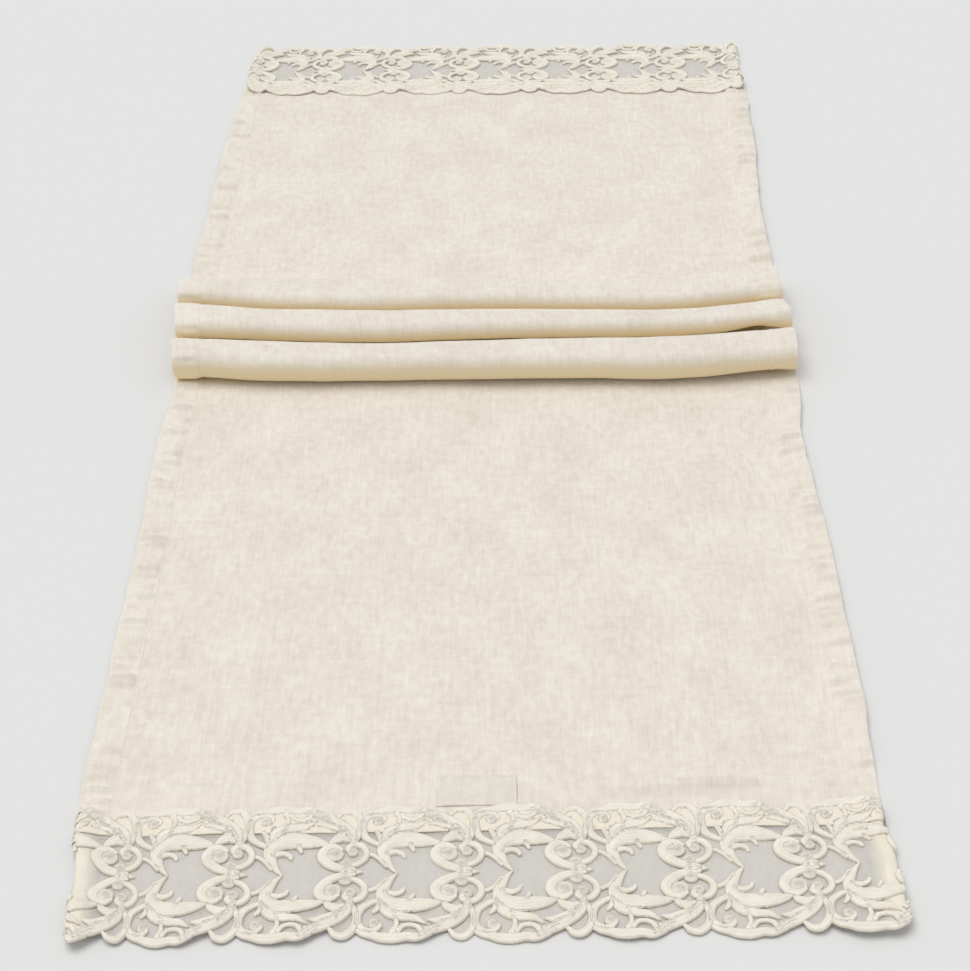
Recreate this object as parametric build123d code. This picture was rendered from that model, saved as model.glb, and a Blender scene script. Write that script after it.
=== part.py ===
from build123d import *
import math
import os

# Table runner laid flat with three soft cross pleats, a lace border at each short end,
# side hems and a sewn-on label. Millimetres, +X across, +Y along the length, +Z up.

WIDTH = 500.0              # finished width over both side hems
HEM = 22.0                 # side hem width
CLOTH = 0.8                # linen, one layer
HEM_T = 1.8                # linen folded to the three layers of a hem
THREAD = 0.35              # sewing thread standing on the cloth
HEM_SEAM = 20.5            # hem seam line, in from the runner's side edge

BORDER = 106.0             # depth of the lace border
BORDER_W = 494.0           # width of the lace border
LACE_T = 1.6               # raised embroidery
ORGANZA_T = 0.2            # sheer backing
REPEAT = 70.0              # pitch of the lace motif
LINEN_END = 84.5           # the linen's end, in from the lace's outer edge
END_HEM = 12.0             # the linen's end turned over, under the lace
ORGANZA_IN = 98.5          # inner edge of the sheer backing
SLACK = 1.0                # room left beside the side hems under the border

FAR_START = 700.5          # the cloth lies flat again from here on
LENGTH = 1139.5            # laid length between the outer lace edges
FAR_TURN = -1.73           # the far part is laid slightly askew, degrees about Z
FAR_SHIFT = -1.2           # and this far sideways where it turns
TURN_Y = 660.5

LABEL_W = 50.0
LABEL_Y = (104.5, 130.0)
LABEL_X = -2.5
LABEL_T = 0.6

# Side view of the laid cloth: (distance along Y, height, bend radius) at each corner.
NEAR_LAY = [(LINEN_END, 0.0, 0.0), (591.5, 0.0, 2.9), (591.5, 6.2, 2.9)]
PLEATS = [
    (549.5, 4.6, 8.0), (548.0, 25.4, 8.5), (576.5, 25.2, 8.0), (586.0, 10.6, 6.0),
    (597.0, 7.6, 6.0), (609.5, 0.0, 6.0), (636.5, 0.0, 2.9), (636.5, 6.2, 2.9),
    (593.5, 15.5, 6.0), (589.0, 29.0, 7.0), (616.5, 28.0, 8.0), (628.5, 10.6, 6.0),
    (643.0, 7.4, 6.0), (657.5, 0.0, 6.0), (678.5, 0.0, 2.9), (678.5, 6.2, 2.9),
    (633.5, 15.6, 5.0), (629.0, 28.8, 6.6), (663.5, 26.4, 12.0), (694.5, 0.0, 12.0),
]
LAY = NEAR_LAY + PLEATS + [(FAR_START, 0.0, 0.0)]
BORDER_LAY = [
    (0.0, 0.0, 0.0), (LINEN_END - 5.0, 0.0, 0.0), (LINEN_END - 1.5, CLOTH * 2, 0.0),
    (ORGANZA_IN - 1.5, CLOTH * 2, 0.0), (ORGANZA_IN + 1.0, CLOTH, 0.0), (BORDER + 3.0, CLOTH, 0.0),
]
SCALLOP = 8.0              # depth of the big scallops
BIG_HOLE = (11.0, 19.0)    # half sizes of each motif's window
SMALL_HOLE = 10.0          # side of the diamond opening between two motifs
ROUND_HOLES = ((45.0, 4.0), (8.0, 3.0))   # place along the motif and radius


def lay_edges(corners, rise):
    """Edges of the side view, moved by rise to the left of the direction of travel."""
    points = [Vector(y, z) for y, z, _ in corners]
    ways = [(b - a).normalized() for a, b in zip(points, points[1:])]
    left = [Vector(-way.Y, way.X) for way in ways]
    edges = []
    start = points[0] + left[0] * rise
    for i, (_, _, radius) in enumerate(corners[1:-1], 1):
        turn = math.atan2(ways[i - 1].cross(ways[i]).Z, ways[i - 1].dot(ways[i]))
        mitre = (left[i - 1] + left[i]) / (1 + left[i - 1].dot(left[i]))
        corner = points[i] + mitre * rise
        if radius == 0:
            edges.append(Line(start, corner))
            start = corner
            continue
        bend = radius - math.copysign(rise, turn)
        reach = bend * math.tan(abs(turn) / 2)
        into = corner - ways[i - 1] * reach
        out = corner + ways[i] * reach
        edges.append(Line(start, into))
        edges.append(TangentArc(into, out, tangent=ways[i - 1]))
        start = out
    edges.append(Line(start, points[-1] + left[-1] * rise))
    return edges


def laid_sheet(corners, low, high, x_from, x_to):
    """A sheet between two rises above the side view's line, spanning x_from to x_to."""
    under = lay_edges(corners, low)
    over = lay_edges(corners, high)
    caps = [Line(under[-1] @ 1, over[-1] @ 1), Line(over[0] @ 0, under[0] @ 0)]
    section = Plane.YZ.offset(x_from) * make_face(under + over + caps)
    return extrude(section, amount=x_to - x_from, dir=(1, 0, 0))


def far_place(body):
    """Carry a body from the near end's layout to the far end, turned end for end."""
    flipped = Pos(0, LENGTH - TURN_Y, 0) * Rot(0, 0, 180) * body
    return Pos(FAR_SHIFT, TURN_Y, 0) * Rot(0, 0, FAR_TURN) * flipped


def far_strip(x_from, x_to, low, high):
    """Flat cloth from the last pleat to the far border, between two heights."""
    far_end = LENGTH - TURN_Y - LINEN_END
    near = [(x_from, FAR_START), (x_to, FAR_START)]
    place = Pos(FAR_SHIFT, TURN_Y) * Rot(0, 0, FAR_TURN)
    far = [(place * Pos(x, far_end)).position for x in (x_to, x_from)]
    outline = make_face(Polyline(*near, *[(p.X, p.Y) for p in far], close=True))
    return Pos(0, 0, low) * extrude(outline, amount=high - low)


def runner_strip(x_from, x_to, low, high):
    """A strip of cloth of the whole laid length, through the pleats."""
    pleated = laid_sheet(LAY, low, high, x_from, x_to)
    return (pleated + far_strip(x_from, x_to, low, high)).clean()


def scalloped_outline():
    """Plan outline of the lace border: scalloped outside, leaf-waved inside."""
    count = int(BORDER_W // REPEAT)
    first = -REPEAT * count / 2
    side = BORDER_W / 2
    outer = [(-side, 6.0)]
    for i in range(count):
        x = first + i * REPEAT
        outer += [(x, SCALLOP), (x + 19, 0.0), (x + 38, SCALLOP), (x + 54, 3.5), (x + REPEAT, SCALLOP)]
    outer.append((side, 6.0))
    edges = [Line(outer[0], outer[1])]
    for i in range(count):
        p = outer[1 + 5 * i: 6 + 5 * i]
        edges += [ThreePointArc(p[0], p[1], p[2]), ThreePointArc(p[2], p[3], p[4])]
    edges.append(Line(outer[-2], outer[-1]))
    inner = [(first + i * REPEAT, BORDER - 7.0) for i in range(count + 1)]
    edges.append(Line((side, 6.0), (side, BORDER - 7.0)))
    edges.append(Line((side, BORDER - 7.0), inner[-1]))
    for a, b in zip(inner, inner[1:]):
        edges.append(ThreePointArc(a, ((a[0] + b[0]) / 2, BORDER), b))
    edges.append(Line(inner[0], (-side, BORDER - 7.0)))
    edges.append(Line((-side, BORDER - 7.0), (-side, 6.0)))
    return make_face(edges)


def lace():
    """Raised cutwork: a scalloped plate with the large and small openings of each motif."""
    plate = laid_sheet(BORDER_LAY, ORGANZA_T, ORGANZA_T + LACE_T, -WIDTH / 2, WIDTH / 2)
    plate = plate & (Pos(0, 0, -5) * extrude(scalloped_outline(), amount=20))
    count = int(BORDER_W // REPEAT)
    cut = Sketch()
    for i in range(count):
        x = -REPEAT * count / 2 + i * REPEAT
        cut += Pos(x + 18, BORDER / 2) * Ellipse(*BIG_HOLE)
        cut += Pos(x + 60, BORDER / 2) * Rot(0, 0, 45) * RectangleRounded(SMALL_HOLE, SMALL_HOLE, 2)
        for y in (17.0, BORDER - 17.0):
            for along, radius in ROUND_HOLES:
                cut += Pos(x + along, y) * Circle(radius)
    return plate - Pos(0, 0, -5) * extrude(cut, amount=20)


def organza():
    """Sheer backing under the lace, inside its scallops."""
    side = BORDER_W / 2 - 3
    sheet = laid_sheet(BORDER_LAY, 0.0, ORGANZA_T, -side, side)
    return sheet & Pos(0, (9 + ORGANZA_IN) / 2, 0) * Box(WIDTH, ORGANZA_IN - 9, 20)


def end_hem():
    """The linen's cut end turned over on itself, hidden under the lace."""
    width = WIDTH - 2 * (HEM + SLACK)
    return Pos(0, LINEN_END + END_HEM / 2, CLOTH * 1.5) * Box(width, END_HEM, CLOTH)


def lace_seam():
    """Stitches that hold the lace's inner edge down, one row just inside its contour."""
    pitch = 10.0
    count = int((BORDER_W - 30) // pitch)
    level = CLOTH + ORGANZA_T + LACE_T + THREAD / 2
    stitches = [
        Pos((i - (count - 1) / 2) * pitch, BORDER - 9.5, level) * Box(6.0, 0.7, THREAD)
        for i in range(count)
    ]
    return Compound(children=stitches)


def label():
    """Woven cloth label, its lower edge under the lace."""
    depth = LABEL_Y[1] - LABEL_Y[0]
    middle = (LABEL_Y[0] + LABEL_Y[1]) / 2
    return Pos(LABEL_X, middle, CLOTH + LABEL_T / 2) * Box(LABEL_W, depth, LABEL_T)


def label_stitches():
    """Thread along the label's top and down both sides."""
    inset = 1.5
    top = LABEL_Y[1] - inset
    low = BORDER + 1.0
    level = CLOTH + LABEL_T + THREAD / 2
    side = LABEL_W / 2 - inset
    bars = [
        Pos(LABEL_X, top, level) * Box(2 * side, 0.5, THREAD),
        Pos(LABEL_X - side, (top + low) / 2, level) * Box(0.5, top - low, THREAD),
        Pos(LABEL_X + side, (top + low) / 2, level) * Box(0.5, top - low, THREAD),
    ]
    return bars[0] + bars[1] + bars[2]


def side_hem(sign):
    """Side hem, three layers thick, through the pleats."""
    edges = sorted((sign * WIDTH / 2, sign * (WIDTH / 2 - HEM)))
    return runner_strip(*edges, 0.0, HEM_T)


def hem_thread(sign):
    """Seam thread along a side hem."""
    middle = sign * (WIDTH / 2 - HEM_SEAM)
    return runner_strip(middle - 0.4, middle + 0.4, HEM_T, HEM_T + THREAD)


def hem_ends():
    """Room for the two side hems under the border."""
    width = HEM + SLACK
    strip = Box(width, BORDER, HEM_T, align=(Align.MIN, Align.MIN, Align.MIN))
    start = LINEN_END - SLACK
    return Pos(-WIDTH / 2, start, 0) * strip + Pos(WIDTH / 2 - width, start, 0) * strip


def build():
    """Every piece by its name, with the near border's outer edge at Y 0."""
    inner = WIDTH / 2 - HEM
    room = hem_ends()
    parts = {
        "linen_panel": runner_strip(-inner, inner, 0.0, CLOTH),
        "label": label(),
        "label_stitches": label_stitches(),
    }
    near = {
        "end_hem": end_hem(),
        "organza": organza() - room,
        "lace": lace() - room,
        "lace_seam": lace_seam(),
    }
    for name, body in near.items():
        parts[name + "_near"] = body
        parts[name + "_far"] = far_place(body)
    parts["lace_near"] -= parts["label"]
    border = Pos(0, BORDER / 2, 0) * Box(WIDTH + 20, BORDER + 2, 20)
    for side, sign in (("left", -1), ("right", 1)):
        parts["hem_" + side] = side_hem(sign)
        parts["hem_thread_" + side] = hem_thread(sign) - border - far_place(border)
    return parts


def main():
    parts = build()
    boxes = [body.bounding_box() for body in parts.values()]
    low = [min(axis) for axis in zip(*(tuple(box.min) for box in boxes))]
    high = [max(axis) for axis in zip(*(tuple(box.max) for box in boxes))]
    home = Pos(-(low[0] + high[0]) / 2, -(low[1] + high[1]) / 2, -low[2])
    os.makedirs("parts", exist_ok=True)
    for name, body in parts.items():
        export_step(home * body, f"parts/{name}.step")
    print("low", low, "high", high)
    taken_up = sum(edge.length for edge in lay_edges(LAY, CLOTH / 2)) - (FAR_START - LINEN_END)
    print("flat length", LENGTH + taken_up, "taken up by the pleats", taken_up)


main()
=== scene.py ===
import math
import bpy
import numpy as np
from mathutils import Matrix, Vector


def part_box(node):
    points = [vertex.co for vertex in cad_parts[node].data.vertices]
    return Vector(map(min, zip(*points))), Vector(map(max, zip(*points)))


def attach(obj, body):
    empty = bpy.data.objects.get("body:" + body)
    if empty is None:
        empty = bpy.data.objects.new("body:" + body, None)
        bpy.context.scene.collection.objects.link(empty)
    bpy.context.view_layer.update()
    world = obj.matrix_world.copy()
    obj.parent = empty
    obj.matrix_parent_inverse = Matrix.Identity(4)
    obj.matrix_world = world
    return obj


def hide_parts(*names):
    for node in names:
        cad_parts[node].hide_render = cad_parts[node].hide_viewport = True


# A linen table runner with scalloped cutwork borders, laid flat with three soft cross pleats.
# Lengths are metres. Every piece is worked out in the runner's own lay: X across, Y from the
# near border's outer edge, Z up from the table; HOME carries that lay into the frame.

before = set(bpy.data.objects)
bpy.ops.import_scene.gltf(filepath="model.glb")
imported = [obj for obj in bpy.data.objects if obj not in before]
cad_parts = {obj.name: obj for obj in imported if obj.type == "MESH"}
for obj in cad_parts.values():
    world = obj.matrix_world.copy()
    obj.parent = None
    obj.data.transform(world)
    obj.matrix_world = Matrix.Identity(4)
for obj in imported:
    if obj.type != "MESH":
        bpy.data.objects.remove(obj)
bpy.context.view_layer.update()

MM = 0.001
END_HEM_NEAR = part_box("end_hem_near")
LACE_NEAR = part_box("lace_near")
LABEL_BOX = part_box("label")
HOME = Vector(((END_HEM_NEAR[0].x + END_HEM_NEAR[1].x) / 2, LACE_NEAR[0].y, 0.0))

# ---------------------------------------------------------------- sizes, as in the CAD model
WIDTH = 2 * (HOME.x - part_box("hem_left")[0].x)
HEM = WIDTH / 2 - (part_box("hem_right")[0].x - HOME.x)
CLOTH = 0.6 * MM
BORDER = LACE_NEAR[1].y - LACE_NEAR[0].y
BORDER_W = LACE_NEAR[1].x - LACE_NEAR[0].x
LINEN_END = END_HEM_NEAR[0].y - HOME.y
END_HEM = END_HEM_NEAR[1].y - END_HEM_NEAR[0].y
LENGTH = 1.1395
FAR_START = 0.7005
TURN_Y = 0.6605
FAR_TURN = math.radians(-1.73)
FAR_SHIFT = -1.2 * MM
HEM_SEAM = 20.5 * MM

# Side view of the laid cloth, in millimetres: distance, height, bend radius, which edge of the
# pleats the corner bows with (see BOW), and its share of that bow.
LAY = [
    (84.5, 0.0, 0.0, 0, 0.0), (591.5, 0.0, 2.9, 3, 0.3), (591.5, 6.2, 2.9, 3, 0.3),
    (549.5, 4.6, 8.0, 3, 1.0), (548.0, 25.4, 8.5, 3, 1.0), (576.5, 25.2, 8.0, 2, 1.0),
    (586.0, 10.6, 6.0, 2, 1.0), (597.0, 7.6, 6.0, 2, 0.65), (609.5, 0.0, 6.0, 2, 0.5),
    (636.5, 0.0, 2.9, 2, 0.3), (636.5, 6.2, 2.9, 2, 0.3), (592.5, 15.5, 6.0, 2, 1.0),
    (588.0, 29.0, 7.0, 2, 1.0), (616.5, 28.0, 8.0, 1, 1.0), (628.5, 10.6, 6.0, 1, 1.0),
    (643.0, 7.4, 6.0, 1, 0.65), (657.5, 0.0, 6.0, 1, 0.5), (678.5, 0.0, 2.9, 1, 0.3),
    (678.5, 6.2, 2.9, 1, 0.3), (633.5, 15.6, 5.0, 1, 1.0), (629.0, 28.8, 6.6, 1, 1.0),
    (663.5, 26.4, 12.0, 4, 1.0), (694.5, 0.0, 8.5, 5, 1.0), (700.5, 0.0, 0.0, 5, 1.0),
]
# How each edge bows along Y from the left end of the pleats to the right, millimetres.
BOW = {
    0: (0, 0),
    1: (15.9, 5.2, 0.6, -1.0, -4.8, -6.3, 4.4),        # back of roll 2, nose of roll 1
    2: (9.9, 2.8, -3.4, -1.0, -1.7, -0.4, 7.3),        # back of roll 3, nose of roll 2
    3: (8.9, 1.8, -0.9, -2.0, -4.7, -5.4, 2.8),        # nose of roll 3, the nearest
    4: (7.0, 3.0, 1.0, -2.0, -7.0, -3.0, 11.0),        # back of roll 1
}
# Sideways shift of each edge, millimetres, and its growth, millimetres per metre of width.
SLIDE = {0: (0.0, 0.0), 1: (-2.2, -7.4), 2: (1.65, -4.6), 3: (3.85, -11.0), 4: (-2.2, -7.4), 5: (0.0, 0.0)}
# How far the laid cloth's edges lie inside the straight line, at even steps along its length.
EDGE_IN_RIGHT = (3.5, 3.5, 2.0, 2.4, 7.0, 0.0, 0.0, 4.5, 1.0, 1.0, 2.8)
EDGE_IN_LEFT = (0.0, -0.5, -1.0, -0.5, -3.0, -0.8, 0.0, 0.0, 0.0, 1.5, 5.0)
NOSES = (3, 11, 19)                     # the corner under each pleat's nose
ROW = 4.0 * MM                          # spacing of the cloth's rows and columns


# ---------------------------------------------------------------- small numeric helpers
def smooth(edge0, edge1, x):
    t = np.clip((x - edge0) / (edge1 - edge0), 0.0, 1.0)
    return t * t * (3 - 2 * t)


def lattice(i, j, seed):
    value = np.sin(i * 127.1 + j * 311.7 + seed * 74.7) * 43758.5453
    return 2 * (value - np.floor(value)) - 1


def noise(x, y, seed):
    """Smooth value noise, about -1 to 1, one cell per unit."""
    i = np.floor(x)
    j = np.floor(y)
    u = x - i
    v = y - j
    u = u * u * (3 - 2 * u)
    v = v * v * (3 - 2 * v)
    low = lattice(i, j, seed) * (1 - u) + lattice(i + 1, j, seed) * u
    high = lattice(i, j + 1, seed) * (1 - u) + lattice(i + 1, j + 1, seed) * u
    return low * (1 - v) + high * v


def bump_at(x, centre, reach):
    return np.exp(-((x - centre) / reach) ** 2)


# ---------------------------------------------------------------- the cloth's lay
def through(t, values):
    """Smooth curve through evenly spaced values, t from 0 to 1."""
    v = np.array([values[0], *values, values[-1]], float)
    t = np.clip(t, 0, 1) * (len(values) - 1)
    k = np.minimum(t.astype(int), len(values) - 2)
    t = t - k
    a, b, c, d = v[k], v[k + 1], v[k + 2], v[k + 3]
    curve = 2 * b + (c - a) * t + (2 * a - 5 * b + 4 * c - d) * t ** 2
    return (curve + (3 * b - a - 3 * c + d) * t ** 3) / 2


def pleat_shift(xs, group, share):
    """How far a pleat's corner is bowed along Y, and moved and stretched along X."""
    slide, grow = SLIDE[group]
    if group == 5:
        bow = 1e3 * xs * math.tan(FAR_TURN)
    else:
        bow = share * through(xs / WIDTH + 0.5, BOW[group])
        bow = bow + share * 0.8 * noise(xs / 0.045, group * 3.7 + 0 * xs, 5)
    return bow * MM, (slide + grow * xs) * MM


def nose_lift(xs, k):
    """Height added to a pleat's nose: loose gaps at the right end, slow unevenness."""
    e = xs / (WIDTH / 2)
    lift = 0.8 * noise(xs / 0.07, 2.3 * k + 0 * xs, 11) + 0.35 * noise(xs / 0.022, 1.7 * k + 0 * xs, 12)
    gap = {3: 3.2 * bump_at(e, 0.88, 0.15) + 1.2 * bump_at(e, -0.9, 0.12)}.get(k, 0)
    gap = gap + {11: 4.6 * bump_at(e, 0.885, 0.07)}.get(k, 0)
    return (lift + gap) * MM


def edge_in(points):
    """Draw the cloth's two long edges in, where they don't lie straight."""
    x = points[..., 0]
    t = points[..., 1] / LENGTH
    right = through(t, EDGE_IN_RIGHT) * smooth(0.12, 0.25, x)
    left = through(t, EDGE_IN_LEFT) * smooth(0.12, 0.25, -x)
    points[..., 0] += (left - right) * MM
    return points


def edge_lift(points):
    """Height of the two long edges off the table, where the cloth lies flat and uncovered."""
    x, y = points[..., 0], points[..., 1]
    flat = 1 - smooth(0.515, 0.545, y) * (1 - smooth(0.705, 0.735, y))
    flat = flat * smooth(0.108, 0.150, y) * (1 - smooth(LENGTH - 0.150, LENGTH - 0.108, y))
    right = 3.4 * smooth(0.218, 0.249, x) * (1.0 + 0.45 * noise(y / 0.055, 0 * y, 31))
    left = 2.4 * smooth(0.222, 0.249, -x) * (1.0 + 0.45 * noise(y / 0.05, 0 * y, 32))
    return flat * (right + left) * MM


def bends(corner, way):
    """Each bend's turn and radius, with a smaller radius where two bends would overlap."""
    cross = way[:-1, :, 0] * way[1:, :, 1] - way[:-1, :, 1] * way[1:, :, 0]
    turn = np.arctan2(cross, (way[:-1] * way[1:]).sum(2))
    radius = np.array([size for _, _, size, _, _ in LAY[1:-1]])[:, None] * MM
    reach = np.zeros(corner.shape[:2])
    reach[1:-1] = radius * np.tan(np.abs(turn) / 2)
    room = np.linalg.norm(np.diff(corner, axis=0), axis=2)
    fit = 0.98 * room / (reach[:-1] + reach[1:])
    return turn, radius * np.clip(np.minimum(fit[:-1], fit[1:]), None, 1)


def pleat_corners(xs):
    """The side view's corners for each x, and how far each is moved along X."""
    corner = np.zeros((len(LAY), len(xs), 2))
    aside = np.zeros((len(LAY), len(xs)))
    for k, (y, z, _, group, share) in enumerate(LAY):
        dy, dx = pleat_shift(xs, group, share)
        corner[k, :, 0] = y * MM + dy
        corner[k, :, 1] = z * MM
        aside[k] = dx
    for k in NOSES:
        lift = nose_lift(xs, k)
        corner[k, :, 1] += lift
        corner[k + 1, :, 1] += 0.6 * lift * (lift < 2 * MM)
    return corner, aside


def lay_points(xs, row=ROW):
    """Points and left-hand normals of the cloth's underside, one column for each x."""
    n = len(xs)
    corner, aside = pleat_corners(xs)
    way = np.diff(corner, axis=0)
    way /= np.linalg.norm(way, axis=2, keepdims=True)
    left = np.stack([-way[..., 1], way[..., 0]], axis=2)
    points = []
    normals = []
    shifts = []

    def line(a, b, side_a, side_b, normal):
        count = max(2, round(float(np.linalg.norm(b - a, axis=1).mean()) / row))
        for t in np.arange(count) / count:
            points.append(a + (b - a) * t)
            normals.append(normal)
            shifts.append(side_a + (side_b - side_a) * t)

    at = corner[0]
    side_at = aside[0]
    turns, radii = bends(corner, way)
    for k in range(1, len(LAY) - 1):
        turn = turns[k - 1]
        radius = radii[k - 1]
        reach = (radius * np.tan(np.abs(turn) / 2))[:, None]
        into = corner[k] - way[k - 1] * reach
        line(at, into, side_at, aside[k], left[k - 1])
        centre = into + left[k - 1] * (radius * np.sign(turn))[:, None]
        steps = max(3, round(float(np.abs(turn).mean()) * 6))
        for t in np.arange(steps) / steps:
            c = np.cos(turn * t)
            s = np.sin(turn * t)
            normal = np.stack(
                [left[k - 1, :, 0] * c - left[k - 1, :, 1] * s,
                 left[k - 1, :, 0] * s + left[k - 1, :, 1] * c], axis=1)
            points.append(centre - normal * (radius * np.sign(turn))[:, None])
            normals.append(normal)
            shifts.append(aside[k])
        at = corner[k] + way[k] * reach
        side_at = aside[k]
    line(at, corner[-1], side_at, aside[-1], left[-1])
    flat = np.array(points)
    across = xs[None, :] + np.array(shifts)
    side_view = np.concatenate([across[..., None], flat], axis=2)
    normal = np.array(normals)
    normal = np.concatenate([np.zeros(normal.shape[:2] + (1,)), normal], axis=2)
    ahead = np.arange(FAR_START - TURN_Y, LENGTH - TURN_Y - LINEN_END + ROW / 2, row)
    far = far_place(np.broadcast_to(xs, (len(ahead), n)), np.repeat(ahead[:, None], n, 1))
    up = np.zeros((len(ahead), n, 3))
    up[..., 2] = 1
    laid = edge_in(np.concatenate([side_view, far]))
    laid[..., 2] += edge_lift(laid)
    return laid, np.concatenate([normal, up])


def far_place(x, ahead):
    """Plan place of a point x across and ahead of the turn, in the far part's skewed lay."""
    c = math.cos(FAR_TURN)
    s = math.sin(FAR_TURN)
    return np.stack([FAR_SHIFT + x * c - ahead * s, TURN_Y + x * s + ahead * c, 0 * x], axis=-1)


def arc_length(points):
    """Distance along the cloth of each row, from its near end."""
    middle = points[:, points.shape[1] // 2]
    steps = np.linalg.norm(np.diff(middle, axis=0), axis=1)
    return np.concatenate([[0.0], np.cumsum(steps)])


# ---------------------------------------------------------------- mesh building
def set_uv(mesh, uv):
    """Give the mesh a UV map from one place for each of its vertices."""
    corner_vertex = np.zeros(len(mesh.loops), np.int32)
    mesh.loops.foreach_get("vertex_index", corner_vertex)
    layer = mesh.uv_layers.new(name="UVMap")
    layer.data.foreach_set("uv", np.asarray(uv)[corner_vertex].astype(np.float32).ravel())


def add_object(name, mesh, node=None):
    """Put a mesh in the scene, as a piece that stands for CAD nodes where these are named."""
    piece = bpy.data.objects.new(name, mesh)
    bpy.context.scene.collection.objects.link(piece)
    if node:
        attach(piece, "root")
        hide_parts(*node)
    return piece


def new_object(name, points, faces, uv=None, layers=None, node=None):
    mesh = bpy.data.meshes.new(name)
    mesh.from_pydata(np.asarray(points).tolist(), [], faces)
    if uv is not None:
        set_uv(mesh, uv)
    for key, values in (layers or {}).items():
        attribute = mesh.attributes.new(key, "FLOAT", "POINT")
        attribute.data.foreach_set("value", np.asarray(values, np.float32))
    mesh.polygons.foreach_set("use_smooth", np.ones(len(mesh.polygons), bool))
    mesh.validate()
    mesh.update()
    return add_object(name, mesh, node)


def grid_faces(rows, columns, start=0, flip=False):
    i, j = np.meshgrid(np.arange(rows - 1), np.arange(columns - 1), indexing="ij")
    a = start + i * columns + j
    quads = np.stack([a, a + 1, a + columns + 1, a + columns], axis=-1).reshape(-1, 4)
    return (quads[:, ::-1] if flip else quads).tolist()


def closed_sheet(top, under):
    """Vertices and faces of a closed sheet between two matching grids (rows, columns, 3)."""
    rows, columns = top.shape[:2]
    count = rows * columns
    points = np.concatenate([top.reshape(-1, 3), under.reshape(-1, 3)])
    faces = grid_faces(rows, columns) + grid_faces(rows, columns, count, flip=True)
    rim = list(range(columns))
    rim += [i * columns + columns - 1 for i in range(1, rows)]
    rim += [(rows - 1) * columns + j for j in range(columns - 2, -1, -1)]
    rim += [i * columns for i in range(rows - 2, 0, -1)]
    for a, b in zip(rim, rim[1:] + rim[:1]):
        faces.append([b, a, a + count, b + count])
    return points, faces


def home(points):
    return np.asarray(points) + np.array(HOME)


# ---------------------------------------------------------------- linen panel and hems
def cloth_wave(x, s):
    """Gentle unevenness of the laid linen, from 0 up, in metres."""
    broad = 0.55 * noise(x / 0.11, s / 0.16, 21) + 0.35 * noise(x / 0.05, s / 0.045, 22)
    cross = 0.40 * noise(x / 0.06, s / 0.014, 23) + 0.25 * noise(x / 0.018, s / 0.024, 24)
    near = bump_at(s, 0.030, 0.034)
    pulled = near * (2.0 * noise(x / 0.065, s / 0.011, 25) + 1.6 * noise(x / 0.030, s / 0.014, 26))
    dent = 12.5 * bump_at(x, 0.140, 0.055) * bump_at(s - 0.05 * (x - 0.14), 0.036, 0.0050)
    dent = dent + 5.0 * bump_at(x, 0.205, 0.030) * bump_at(s - 0.12 * (x - 0.20), 0.030, 0.0046)
    return (1.3 + 0.6 * broad + cross + pulled + dent) * 0.55 * MM


def underside(base, normal, copies):
    """0 to 1, for the painted shade in the pleats, warmer and yellower: surfaces facing down, and deep
    between the layers.
    """
    down = 1 - smooth(-0.35, 1.0, normal[..., 2])
    deep = smooth(0.552, 0.568, base[..., 1]) * (1 - smooth(0.636, 0.652, base[..., 1]))
    deep = deep * (1 - smooth(8 * MM, 15 * MM, base[..., 2]))
    return np.tile(np.maximum(down, deep).ravel(), copies)


def linen_panel():
    inner = WIDTH / 2 - HEM + 1.0 * MM
    full = inner - 2.5 * MM
    xs = np.linspace(-full, full, round(2 * full / ROW) + 1)
    xs = np.concatenate([[-inner, 1.2 * MM - inner], xs, [inner - 1.2 * MM, inner]])
    base, normal = lay_points(xs)
    s = arc_length(base)[:, None] + 0 * xs[None, :]
    rise = np.clip(cloth_wave(xs[None, :], s), 0.1 * MM, None)
    seam = smooth(inner - 9 * MM, inner - 4 * MM, np.abs(xs))[None, :]
    edge = smooth(inner - 1.2 * MM, inner, np.abs(xs))[None, :]
    rise = rise * (1 - seam) + (0.62 - 0.3 * edge) * MM * seam
    under = base + normal * rise[..., None]
    top = under + normal * CLOTH
    points, faces = closed_sheet(top, under)
    uv = np.stack([xs[None, :] + 0 * s, s], axis=-1).reshape(-1, 2)
    # The under layer carries the painted shade of the pleats.
    piece = new_object("Linen_Panel", home(points), faces, np.concatenate([uv, uv]),
                       {"under": underside(base, normal, 2)}, ["linen_panel"])
    return piece, float(s.max())


def hem_ring():
    """Section of a side hem: distance in from the edge and height, once round, outside first."""
    section = []
    for t in np.linspace(-math.pi / 2, math.pi / 2, 7):
        section.append((0.75 * MM * (1 - math.cos(t)), 0.70 * MM * (1 + math.sin(t))))
    for t in np.linspace(0.05, 0.86, 9):
        section.append((t * HEM, 1.45 * MM))
    section += [(HEM - 2.0 * MM, 1.42 * MM), (HEM, 1.32 * MM), (HEM + 1.4 * MM, 1.16 * MM)]
    section += [(HEM + 1.65 * MM, 1.10 * MM)]
    section += [(HEM + 1.7 * MM, 0.6 * MM), (HEM * 0.97, 0.0), (HEM * 0.5, 0.0)]
    return section


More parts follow.
